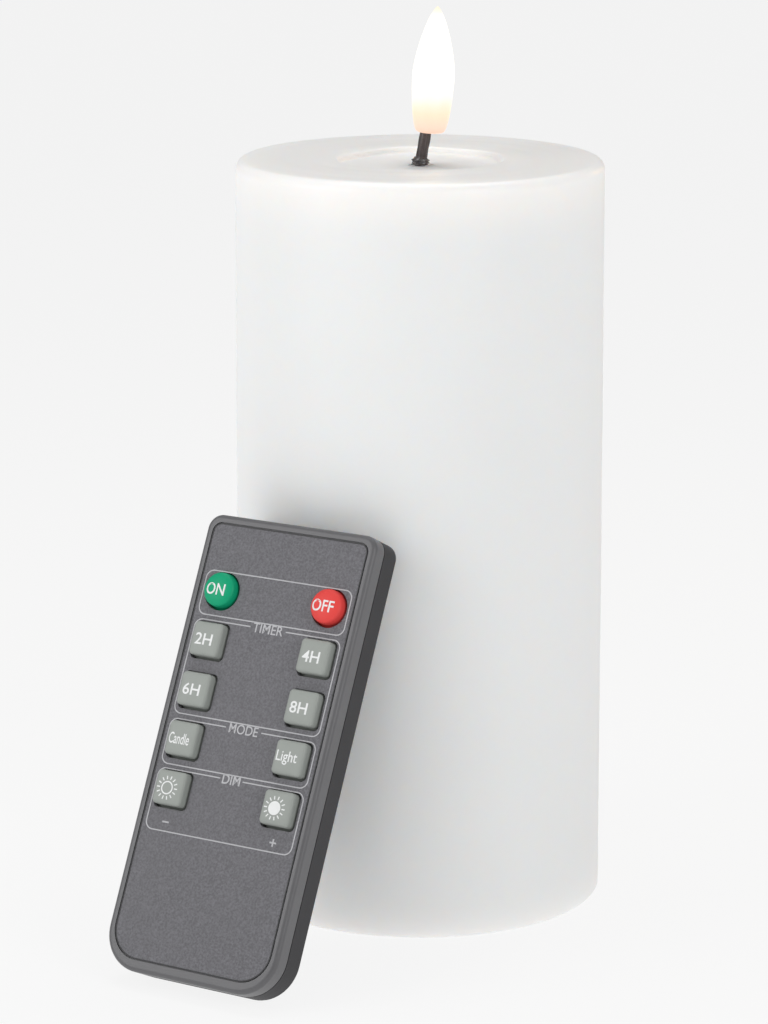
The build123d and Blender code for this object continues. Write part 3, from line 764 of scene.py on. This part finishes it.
@dataclass
class Controller:
    """The hand controller's keys and printing, built flat in its own frame and then leaned."""

    flange: float = 0.7 * MM
    edge: float = 0.7 * MM
    corner: float = 0.9 * MM
    crown: float = 0.12 * MM
    cap_slack: float = 0.24 * MM
    cap_lie: tuple[float, float] = (-0.14 * MM, 0.14 * MM)
    dome_height: float = 1.9 * MM
    dome_foot: float = 0.55 * MM
    dome_power: float = 2.6
    ink: float = 0.03 * MM
    print_shift: float = -0.45 * MM
    line: float = 0.23 * MM
    # width of the dark band of painted shade along the face film's groove
    groove_shade_width: float = 0.24 * MM
    film_top_corner: float = 1.8 * MM
    film_foot_corner: float = 6.2 * MM
    panel_half: float = 16.8 * MM
    panel_corner: float = 1.6 * MM
    panels: tuple[Panel, ...] = (
        Panel(70.6 * MM, 79.5 * MM),
        Panel(50.6 * MM, 69.6 * MM, "TIMER", 4.1 * MM, 6.9 * MM),
        Panel(40.5 * MM, 49.5 * MM, "MODE", 4.1 * MM, 6.6 * MM),
        Panel(27.5 * MM, 39.6 * MM, "DIM", 2.6 * MM, 4.1 * MM),
    )
    label_height: float = 1.9 * MM
    sign_place: tuple[float, float] = (12.4 * MM, 29.3 * MM)
    sign_half: float = 0.75 * MM
    sign_line: float = 0.32 * MM
    frame: Matrix = field(default_factory=lambda: Matrix.Identity(4))
    nodes: dict[str, bpy.types.Object] = field(default_factory=dict)

    def locate(self, frame: dict[str, Any]) -> None:
        """Find the controller's own frame from its joints and its back case.

        The tray pulls along minus Y and the keys press along minus Z, so those joints give the
        axes; the back case's least Y and Z and its middle X give the origin.

        Args:
            frame: the loaded model.
        """
        axes = {j["name"]: Vector(j["axis"]).normalized() for j in frame["joints"]}
        y, z = -axes["remote_tray_slide"], -axes["remote_press_on"]
        x = y.cross(z).normalized()
        turn = Matrix((x, y, z)).transposed()
        self.frame = turn.to_4x4()
        self.nodes = frame["nodes"]
        low, high = self.extent("remote_back_case")
        self.frame.translation = turn @ Vector(((low[0] + high[0]) / 2, low[1], low[2]))

    def extent(self, node: str) -> tuple[np.ndarray, np.ndarray]:
        """Lowest and highest local corner of a node."""
        mesh = self.nodes[node].data
        points = np.empty(len(mesh.vertices) * 3, np.float32)
        mesh.vertices.foreach_get("co", points)
        local = placed(points.reshape(-1, 3).astype(float), self.frame.inverted())
        return local.min(0), local.max(0)

    def cap_height(self, key: Key, half: float, top: float, spot: np.ndarray) -> np.ndarray:
        """Height of a cap's top at points measured from its middle.

        A round cap is a flattened dome: its foot plus the rise times (1 - (d / half)^p)^(1/p).
        A square cap drops from its middle by the crown times the squared distance.
        """
        d = np.hypot(spot[:, 0], spot[:, 1]) / half
        if key.cap is Cap.ROUND:
            rise = self.dome_height - self.dome_foot
            return top - rise + rise * np.clip(1 - d ** self.dome_power, 0, 1) ** (1 / self.dome_power)
        return top - self.crown * np.clip(d, 0, 1.2) ** 2

    def key_cap(self, key: Key, finish: bpy.types.Material) -> bpy.types.Object:
        """Build a cap: flange, wall, rounded edge and crowned top, as insets of one outline."""
        node = "remote_key_" + key.name
        low, high = self.extent(node)
        middle = (low + high) / 2
        middle[:2] += self.cap_lie
        half = float(high[0] - low[0]) / 2 - self.flange - self.cap_slack
        top, foot = float(high[2]), float(low[2])
        out = -self.flange
        insets: list[tuple[float, float]] = [(out + 0.05 * MM, foot), (out, foot + 0.1 * MM),
                                             (out, foot + 0.5 * MM), (0.0, foot + 0.6 * MM)]
        if key.cap is Cap.ROUND:
            reach = np.concatenate([np.linspace(0, 0.12, 7), np.linspace(0.16, 0.97, 16)]) * half
            dome = self.cap_height(key, half, top, np.stack([half - reach, 0 * reach], 1))
            insets += [(0.0, top - 1.5 * MM)] + list(zip(reach.tolist(), dome.tolist()))
        else:
            edge = arc((self.edge, top - self.crown - self.edge), self.edge, 180, 90, 8)
            insets += [(0.0, top - 1.4 * MM)] + [tuple(p) for p in edge.tolist()]
            reach = np.linspace(self.edge + 0.2 * MM, half * 0.97, 9)
            lift = self.cap_height(key, half, top, np.stack([half - reach, 0 * reach], 1))
            insets += list(zip(reach.tolist(), np.maximum(lift, top - self.crown).tolist()))
        rows = []
        for inset, level in insets:
            size = half - inset
            radius = size if key.cap is Cap.ROUND else min(size, max(self.corner - inset, 0.25 * MM))
            ring = rounded_loop((size, size), min(radius, size * 0.999), 14)
            rows.append(np.column_stack([ring + middle[:2], np.full(len(ring), level)]))
        points = placed(np.array(rows).reshape(-1, 3), self.frame).reshape(len(rows), -1, 3)
        made = skin(f"key_cap_{key.name}", points, finish)
        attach(made, node)
        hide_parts(node)
        return made

    def flat_mark(self, name: str, points: np.ndarray, faces: Sequence[Sequence[int]], level: np.ndarray,
                  body: str, finish: bpy.types.Material) -> bpy.types.Object:
        """Give a flat drawing its ink thickness and set it on the face.

        Args:
            name: the object's name.
            points: N by 2, local.
            faces: anticlockwise, seen from outside.
            level: the surface height under each point.
            body: what it rides on.
            finish: the ink.

        Returns:
            The object: an upper sheet, a lower sheet turned over, and walls on the open edges.
        """
        count = len(points)
        upper = np.column_stack([points, level + self.ink])
        lower = np.column_stack([points, level - self.ink])
        edges: dict[tuple[int, int], int] = {}
        for face in faces:
            for a, b in zip(face, list(face[1:]) + [face[0]]):
                edges[(a, b)] = edges.get((a, b), 0) + 1
        walls = [(b, a, a + count, b + count) for a, b in edges if (b, a) not in edges]
        under = [tuple(i + count for i in reversed(list(f))) for f in faces]
        made = mesh_object(name, placed(np.vstack([upper, lower]), self.frame),
                           list(faces) + under + walls, finish, smooth=False)
        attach(made, body)
        return made

    @staticmethod
    def word(text: str, width: float, height: float) -> tuple[np.ndarray, list[list[int]]]:
        """A word's flat outline, filled, scaled to a width and height and centred.

        Returns:
            Points and faces.
        """
        curve = bpy.data.curves.new("word", "FONT")
        curve.body, curve.size, curve.resolution_u = text, 1.0, 4
        curve.offset = 0.012 if len(text) < 4 else 0.007
        holder = bpy.data.objects.new("word", curve)
        bpy.context.scene.collection.objects.link(holder)
        bpy.context.view_layer.update()
        graph = bpy.context.evaluated_depsgraph_get()
        mesh = bpy.data.meshes.new_from_object(holder.evaluated_get(graph))
        flat = np.array([v.co[:2] for v in mesh.vertices])
        faces = [list(p.vertices) for p in mesh.polygons]
        up = [p.normal.z > 0 for p in mesh.polygons]
        bpy.data.objects.remove(holder)
        bpy.data.curves.remove(curve)
        bpy.data.meshes.remove(mesh)
        low, high = flat.min(0), flat.max(0)
        flat = (flat - (low + high) / 2) / (high - low) * np.array([width, height])
        return flat, [f if u else f[::-1] for f, u in zip(faces, up)]

    @staticmethod
    def ribbon(path: np.ndarray, width: float, closed: bool) -> tuple[np.ndarray, list[list[int]]]:
        """A band of even width along a path: each point moves half the width to either side.

        Returns:
            Points and faces.
        """
        if closed:
            tangent = np.roll(path, -1, 0) - np.roll(path, 1, 0)
        else:
            tangent = np.gradient(path, axis=0)
        tangent /= np.linalg.norm(tangent, axis=1)[:, None]
        side = np.stack([-tangent[:, 1], tangent[:, 0]], 1) * width / 2
        points = np.vstack([path + side, path - side])
        count = len(path)
        a = np.arange(count if closed else count - 1)
        b = (a + 1) % count
        return points, np.stack([a + count, b + count, b, a], 1).tolist()

    @classmethod
    def sun(cls, full: bool) -> tuple[np.ndarray, list[list[int]]]:
        """A sun: a ring or a disc with rays of even spacing round it.

        Returns:
            Points and faces.
        """
        count, rays = 40, 14
        t = np.linspace(0, 2 * math.pi, count, endpoint=False)
        circle = np.stack([np.cos(t), np.sin(t)], 1)
        if full:
            points = np.vstack([circle * 1.35 * MM, [[0.0, 0.0]]])
            faces = [[i, (i + 1) % count, count] for i in range(count)]
        else:
            points, faces = cls.ribbon(circle * 1.2 * MM, 0.26 * MM, True)
        for i in range(rays):
            a = 2 * math.pi * i / rays
            out = np.array([math.cos(a), math.sin(a)])
            ray = np.stack([out * 1.65 * MM, out * 2.0 * MM, out * 2.35 * MM])
            more, quads = cls.ribbon(ray, 0.24 * MM, False)
            faces += [[j + len(points) for j in q] for q in quads]
            points = np.vstack([points, more])
        return points, faces

    def key_mark(self, key: Key, finish: bpy.types.Material) -> bpy.types.Object:
        """Print a key's mark on its cap, a little left of its middle."""
        low, high = self.extent("remote_key_" + key.name)
        middle, half = (low + high) / 2, float(high[0] - low[0]) / 2 - self.flange
        if key.mark is Mark.WORD:
            flat, faces = self.word(key.text, key.width, key.height)
        else:
            flat, faces = self.sun(key.mark is Mark.SUN_FULL)
        flat = flat + np.array([self.print_shift, 0.0])
        level = self.cap_height(key, half, float(high[2]), flat)
        if key.cap is Cap.SQUARE:
            level = np.maximum(level, float(high[2]) - self.crown)
        return self.flat_mark(f"key_mark_{key.name}", flat + middle[:2], faces, level,
                              "remote_key_" + key.name, finish)

    def panel_path(self, panel: Panel) -> tuple[np.ndarray, bool]:
        """The line of a printed frame, broken at the middle of its upper side for a word.

        Returns:
            The path and whether it closes.
        """
        quarter = 10
        half = (self.panel_half, (panel.high - panel.low) / 2)
        loop = rounded_loop(half, self.panel_corner, quarter)
        loop = loop + np.array([0.0, (panel.high + panel.low) / 2])
        if not panel.gap:
            return loop, True
        start = np.array([[-panel.gap, panel.high]])
        end = np.array([[panel.gap, panel.high]])
        return np.vstack([start, loop[quarter:], loop[:quarter], end]), False

    def film_groove_shade(self, low: np.ndarray, high: np.ndarray, finish: bpy.types.Material) -> bpy.types.Object:
        """Painted shade: a dark band along the film's edge standing in for the shadow in the groove round
        it; quarter circles of two radii joined by straight sides.
        """
        inset = self.groove_shade_width / 2
        x, foot, top = float(high[0]) - inset, float(low[1]) + inset, float(high[1]) - inset
        big, small = self.film_foot_corner - inset, self.film_top_corner - inset
        path = np.vstack([arc((x - small, top - small), small, 0, 90, 10),
                          arc((small - x, top - small), small, 90, 180, 10),
                          arc((big - x, foot + big), big, 180, 270, 16),
                          arc((x - big, foot + big), big, 270, 360, 16)])
        flat, faces = self.ribbon(path, self.groove_shade_width, True)
        level = np.full(len(flat), float(high[2]))
        return self.flat_mark("film_groove_shade", flat, faces, level, "remote", finish)

    def printing(self, finish: bpy.types.Material, groove_shade_ink: bpy.types.Material) -> list[bpy.types.Object]:
        """Paint the dark shade band along the face film's groove, then print the frames, their words and
        the minus and plus signs on the face film.
        """
        film_low, film_high = self.extent("remote_overlay")
        level = float(film_high[2])
        # painted shade: a near-black band on the film's edge stands for the shadow in the groove round it
        made = [self.film_groove_shade(film_low, film_high, groove_shade_ink)]
        for number, panel in enumerate(self.panels):
            path, closed = self.panel_path(panel)
            flat, faces = self.ribbon(path, self.line, closed)
            made.append(self.flat_mark(f"panel_line_{number}", flat, faces, np.full(len(flat), level),
                                       "remote", finish))
            if panel.text:
                flat, faces = self.word(panel.text, panel.width, self.label_height)
                flat = flat + np.array([0.0, panel.high])
                made.append(self.flat_mark(f"panel_word_{number}", flat, faces,
                                           np.full(len(flat), level), "remote", finish))
        bar = np.array([[-self.sign_half, 0.0], [0.0, 0.0], [self.sign_half, 0.0]])
        x, y = self.sign_place
        for name, at, strokes in (("minus", (-x, y), (bar,)), ("plus", (x, y), (bar, bar[:, ::-1]))):
            for i, stroke in enumerate(strokes):
                flat, faces = self.ribbon(stroke + np.array(at), self.sign_line, False)
                made.append(self.flat_mark(f"sign_{name}_{i}", flat, faces,
                                           np.full(len(flat), level + i * 0.01 * MM), "remote", finish))
        return made

    def build(self) -> list[bpy.types.Object]:
        """Make the caps, their marks and the printing."""
        tints = {
            "grey": ((0.345, 0.368, 0.345), (0.308, 0.330, 0.308), 0.55, 0.3),
            "green": ((0.003, 0.38, 0.185), (0.003, 0.33, 0.16), 0.5, 0.22),
            "red": ((0.82, 0.075, 0.066), (0.74, 0.060, 0.055), 0.5, 0.22),
        }
        made_tints = {
            name: Moulded(f"key_rubber_{name}", first, second, rough, specular=shine, grain=3000.0,
                          depth=0.000012, drift=300.0).build()
            for name, (first, second, rough, shine) in tints.items()}
        ink = Ink().build()
        key_ink = Ink("key_ink", (0.86, 0.87, 0.87)).build()
        made = []
        for key in KEYS:
            made += [self.key_cap(key, made_tints[key.tint]), self.key_mark(key, key_ink)]
        # the near-black ink is painted shade for the groove round the face film, not print
        return made + self.printing(ink, Ink("groove_shade_ink", (0.010, 0.010, 0.012)).build())


# --------------------------------------------------------------------------- the other pieces
@dataclass
class Dresser:
    """Finishes for the solids that keep their own shape."""

    def finishes(self) -> dict[str, bpy.types.Material]:
        """Make each finish once, under the name the nodes use."""
        cell_low, cell_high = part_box("battery_cell_a")
        flame_low, flame_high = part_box("flame_bulb")
        made = [
            Moulded("housing_plastic", (0.80, 0.80, 0.77), (0.74, 0.74, 0.72), 0.5, depth=0.00002),
            Moulded("pad_rubber", (0.50, 0.50, 0.49), (0.40, 0.40, 0.39), 0.8, grain=1800.0),
            Moulded("screw_steel", (0.52, 0.52, 0.54), (0.42, 0.42, 0.44), 0.32, metallic=1.0, drift=600.0),
            Moulded("contact_nickel", (0.72, 0.71, 0.68), (0.60, 0.59, 0.56), 0.22, metallic=1.0,
                    depth=0.000008),
            Moulded("switch_can", (0.55, 0.55, 0.56), (0.45, 0.45, 0.47), 0.35, metallic=1.0),
            Moulded("black_plastic", (0.018, 0.018, 0.020), (0.032, 0.032, 0.034), 0.42, depth=0.00002),
            Moulded("ir_black", (0.010, 0.007, 0.014), (0.018, 0.010, 0.022), 0.12, spread=0.05,
                    depth=0.000003, coat=0.4),
            Moulded("connector_plastic", (0.78, 0.77, 0.70), (0.70, 0.69, 0.63), 0.5),
            Moulded("lead_red", (0.42, 0.015, 0.015), (0.34, 0.012, 0.012), 0.4, depth=0.00001),
            Moulded("lead_black", (0.015, 0.015, 0.016), (0.03, 0.03, 0.03), 0.4, depth=0.00001),
            Moulded("led_resin", (0.85, 0.80, 0.62), (0.78, 0.73, 0.55), 0.18, spread=0.06, coat=0.5),
            Moulded("case_plastic", (0.104, 0.103, 0.108), (0.134, 0.133, 0.140), 0.40, spread=0.14,
                    specular=0.45, grain=3600.0, depth=0.000022, drift=180.0),
            Moulded("back_plastic", (0.040, 0.039, 0.042), (0.054, 0.053, 0.056), 0.55, spread=0.14,
                    specular=0.2, grain=3600.0, depth=0.000022, drift=180.0),
            Moulded("mat_rubber", (0.30, 0.31, 0.30), (0.26, 0.27, 0.26), 0.7),
            Moulded("coin_steel", (0.62, 0.62, 0.62), (0.52, 0.52, 0.53), 0.24, metallic=1.0,
                    brushed=(1.0, 0.08, 1.0)),
            Overlay("face_film"), Laminate("board_laminate"),
            CellJacket(cell_low.z, cell_high.z), Glow(flame_low.z, flame_high.z),
        ]
        return {finish.name: finish.build() for finish in made}

    def table(self) -> dict[str, str]:
        """Which finish each kept node wears."""
        groups = {
            "housing_plastic": "core_housing base_plate battery_box battery_door wick_tube",
            "pad_rubber": "base_pads", "screw_steel": "base_screws battery_box_screws",
            "contact_nickel": "battery_contacts battery_springs door_bridge_contact remote_cell_clips",
            "switch_can": "power_switch_body board_passives", "lead_red": "battery_leads lamp_leads",
            "black_plastic": "power_switch_slider controller_chip remote_chip",
            "lead_black": "switch_leads", "ir_black": "ir_receiver remote_ir_window",
            "connector_plastic": "lamp_connector", "led_resin": "flame_led remote_ir_emitter",
            "case_plastic": "remote_front_case", "back_plastic": "remote_back_case remote_cell_tray",
            "mat_rubber": "remote_key_mat", "coin_steel": "remote_coin_cell",
            "face_film": "remote_overlay", "board_laminate": "circuit_board remote_board",
            "cell_jacket": "battery_cell_a battery_cell_b board_capacitor",
            "flame_diffuser": "flame_bulb",
        }
        return {node: finish for finish, nodes in groups.items() for node in nodes.split()}

    def dress(self, nodes: dict[str, bpy.types.Object]) -> int:
        """Give each kept node its finish.

        Args:
            nodes: the model's nodes.

        Returns:
            How many were dressed.
        """
        finishes = self.finishes()
        for node, finish in self.table().items():
            slots = nodes[node].data.materials
            if not len(slots):
                slots.append(finishes[finish])
            for number in range(len(slots)):
                slots[number] = finishes[finish]
        return len(self.table())


# --------------------------------------------------------------------------- studio
@dataclass
class Studio:
    """Pale floor, soft lights and the camera."""

    distance: float = 0.75722
    height: float = 0.25710
    pitch: float = 0.20445
    turn: float = 0.00958
    focal: float = 3790.4 / 1024 * 36.0
    shift: float = -102.0 / 1024
    floor_tone: float = 0.08
    floor_glow: float = 0.862
    sky: float = 0.27

    def camera(self) -> None:
        """Place the camera."""
        data = bpy.data.cameras.new("camera")
        data.sensor_width, data.lens, data.shift_y = 36.0, self.focal, self.shift
        data.clip_start, data.clip_end = 0.01, 20.0
        made = bpy.data.objects.new("camera", data)
        made.location = (0.0, -self.distance, self.height)
        made.rotation_euler = (math.pi / 2 - self.pitch, 0.0, self.turn)
        bpy.context.scene.collection.objects.link(made)
        bpy.context.scene.camera = made

    def world(self) -> None:
        """Even pale surroundings."""
        world = bpy.data.worlds.new("studio")
        world.use_nodes = True
        world.node_tree.nodes["Background"].inputs[0].default_value = (1.0, 1.0, 1.0, 1.0)
        world.node_tree.nodes["Background"].inputs[1].default_value = self.sky
        bpy.context.scene.world = world
        bpy.context.scene.view_settings.view_transform = "Standard"

    def floor(self) -> None:
        """A wide pale floor just under the pieces."""
        g = Graph("floor_paper")
        fine = g.noise(500.0, 3.0)
        pale = (self.floor_tone,) * 3
        darker = tuple(t * 0.995 for t in pale)
        material = g.surface(Base_Color=g.mix(fine, pale, darker),
                             Roughness=0.9, Specular_IOR_Level=0.1,
                             Emission_Color=(1.0, 1.0, 1.0), Emission_Strength=self.floor_glow)
        side = 6.0
        points = np.array([[-side, -side, 0], [side, -side, 0], [side, side, 0], [-side, side, 0]], float)
        points[:, 2] = -0.02 * MM
        mesh_object("floor", points, [[0, 1, 2, 3]], material, smooth=False)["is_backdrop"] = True

    def light(self, name: str, place: Triple, size: tuple[float, float], power: float,
              colour: Colour = (1.0, 1.0, 1.0)) -> None:
        """A rectangular soft light aimed at the candle's middle.

        Args:
            name: its name.
            place: where it hangs.
            size: width and height.
            power: watts.
            colour: its tint.
        """
        data = bpy.data.lights.new(name, "AREA")
        data.shape, data.size, data.size_y = "RECTANGLE", size[0], size[1]
        data.energy, data.color = power, colour
        made = bpy.data.objects.new(name, data)
        made.location = place
        aim = Vector((0.0, 0.0, 0.08)) - Vector(place)
        made.rotation_euler = aim.to_track_quat("-Z", "Y").to_euler()
        made.visible_camera = False
        bpy.context.scene.collection.objects.link(made)

    def build(self) -> None:
        """Set everything up."""
        self.camera()
        self.world()
        self.floor()
        self.light("left_bank", (-0.40, -0.20, 0.25), (0.24, 0.30), 0.88)
        self.light("right_bank", (0.24, -0.36, 0.24), (0.20, 0.26), 0.68)
        self.light("overhead", (0.0, 0.10, 0.62), (0.44, 0.30), 1.46)
        self.light("warm_strip", (0.27, 0.30, 0.20), (0.02, 0.07), 0.08, (1.0, 0.62, 0.30))


def main() -> dict[str, list[list[float]]]:
    """Build the classes in order.

    Returns:
        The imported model's box and the finished model's.
    """
    logging.basicConfig(level=logging.INFO, format="%(message)s")
    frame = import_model()
    sizes = {"cad": [list(c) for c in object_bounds()]}
    Studio().build()
    candle = Candle().build()
    controller = Controller()
    controller.locate(frame)
    keys = controller.build()
    for piece in candle + keys:
        log.info("built %s with %d faces", piece.name, len(piece.data.polygons))
    log.info("dressed %d kept nodes", Dresser().dress(frame["nodes"]))
    sizes["visual"] = [list(c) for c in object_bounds()]
    return sizes


if __name__ == "__main__":
    main()
